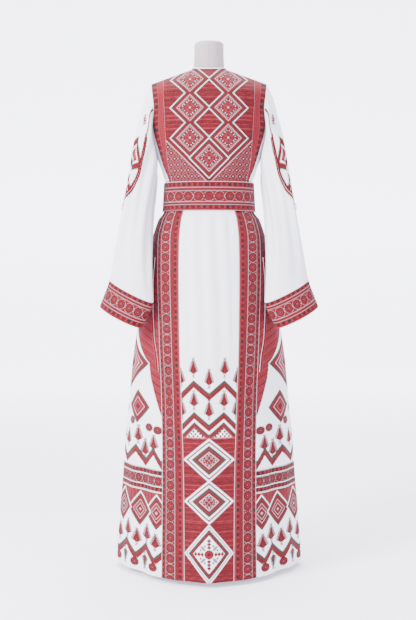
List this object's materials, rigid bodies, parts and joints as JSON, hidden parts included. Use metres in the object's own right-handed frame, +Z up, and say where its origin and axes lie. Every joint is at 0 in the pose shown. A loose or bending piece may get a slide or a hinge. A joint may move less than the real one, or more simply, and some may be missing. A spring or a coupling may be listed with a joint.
{
  "type": "thobe on dress form",
  "caption": "Long-sleeved ankle-length white thobe with red cross-stitch panels, bands, belt and cuffs, on a limbless dress form with a round stand",
  "frame": {"origin": "on the floor, under the middle of the hem and of the stand's base", "axes": "+Z up; the pictured back of the garment faces -Y, its front +Y; +X is the wearer's right"},
  "size_m": [0.6366, 0.5128, 1.567],
  "materials": {
    "white_cloth": "plain woven white cotton and linen cloth",
    "red_embroidery": "dense red cross-stitch with white, pink and grey-green thread",
    "form_cover": "pale grey stretched jersey cover with a fine vertical seam",
    "dark_wood": "dark stained satin wood"
  },
  "bodies": {
    "root": {"front_bodice": "white_cloth", "side_panel_left": "white_cloth", "side_panel_right": "white_cloth", "sleeve_left": "white_cloth", "sleeve_right": "white_cloth", "neck_binding": "white_cloth", "front_skirt": "white_cloth", "back_skirt": "white_cloth", "back_bodice": "red_embroidery", "armhole_band_back_left": "red_embroidery", "armhole_band_back_right": "red_embroidery", "armhole_band_front_left": "red_embroidery", "armhole_band_front_right": "red_embroidery", "cuff_left": "red_embroidery", "cuff_right": "red_embroidery", "sleeve_piping_left": "red_embroidery", "sleeve_piping_right": "red_embroidery", "belt": "red_embroidery", "skirt_band_back_left": "red_embroidery", "skirt_band_back_right": "red_embroidery", "skirt_band_front_left": "red_embroidery", "skirt_band_front_right": "red_embroidery", "side_gore_left": "red_embroidery", "side_gore_right": "red_embroidery", "pocket_welt_left": "red_embroidery", "pocket_welt_right": "red_embroidery", "form_torso": "form_cover", "stand_base": "dark_wood", "stand_pole": "dark_wood"}
  },
  "joints": []
}
